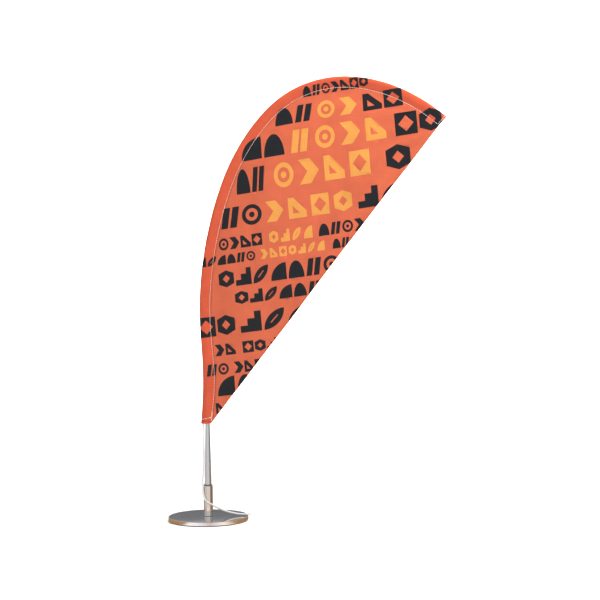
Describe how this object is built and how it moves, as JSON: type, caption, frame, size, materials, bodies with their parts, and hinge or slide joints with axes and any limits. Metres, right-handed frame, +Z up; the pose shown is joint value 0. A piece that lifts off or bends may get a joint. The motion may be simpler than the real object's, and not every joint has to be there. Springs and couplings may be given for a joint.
{
  "type": "teardrop flag",
  "caption": "Table-top teardrop flag: a printed panel held by a bent rod in a sewn sleeve, on a tapered mast that turns in a weighted disc base.",
  "frame": {"origin": "centre of the base's underside, on the mast's axis", "axes": "+Z up along the mast; the flag lies in the XZ plane and runs out towards +X; its front faces -Y"},
  "size_m": [0.2833, 0.08, 0.4376],
  "materials": {
    "foam_pad": "matte",
    "polished_steel": "polished",
    "zinc_screw": "satin",
    "chromed_socket": "polished",
    "black_nylon": "satin",
    "drawn_aluminium": "satin",
    "brass_ferrule": "satin",
    "glass_fibre": "satin",
    "printed_polyester": "matte",
    "elastic_cord": "matte"
  },
  "bodies": {
    "base": {"base_pad": "foam_pad", "base_disc": "polished_steel", "base_screw": "zinc_screw", "socket": "chromed_socket"},
    "bush": {"socket_bush": "black_nylon"},
    "mast": {"mast_tube": "drawn_aluminium", "mast_foot_plug": "black_nylon"},
    "flag": {"rod_ferrule": "brass_ferrule", "flex_rod": "glass_fibre", "rod_tip_cap": "black_nylon", "pole_sleeve": "printed_polyester", "flag_panel": "printed_polyester", "tension_cord": "elastic_cord", "cord_knot": "elastic_cord"}
  },
  "joints": [
    {"name": "pole_spin", "type": "hinge", "parent": "base", "child": "bush", "pos_m": [0, 0, 0.035], "axis": [0, 0, 1], "continuous": true},
    {"name": "pole_lift", "type": "slide", "parent": "bush", "child": "mast", "axis": [0, 0, 1], "range_m": [0, 0.04]},
    {"name": "rod_pull", "type": "slide", "parent": "mast", "child": "flag", "axis": [0, 0, 1], "range_m": [0, 0.025]}
  ]
}
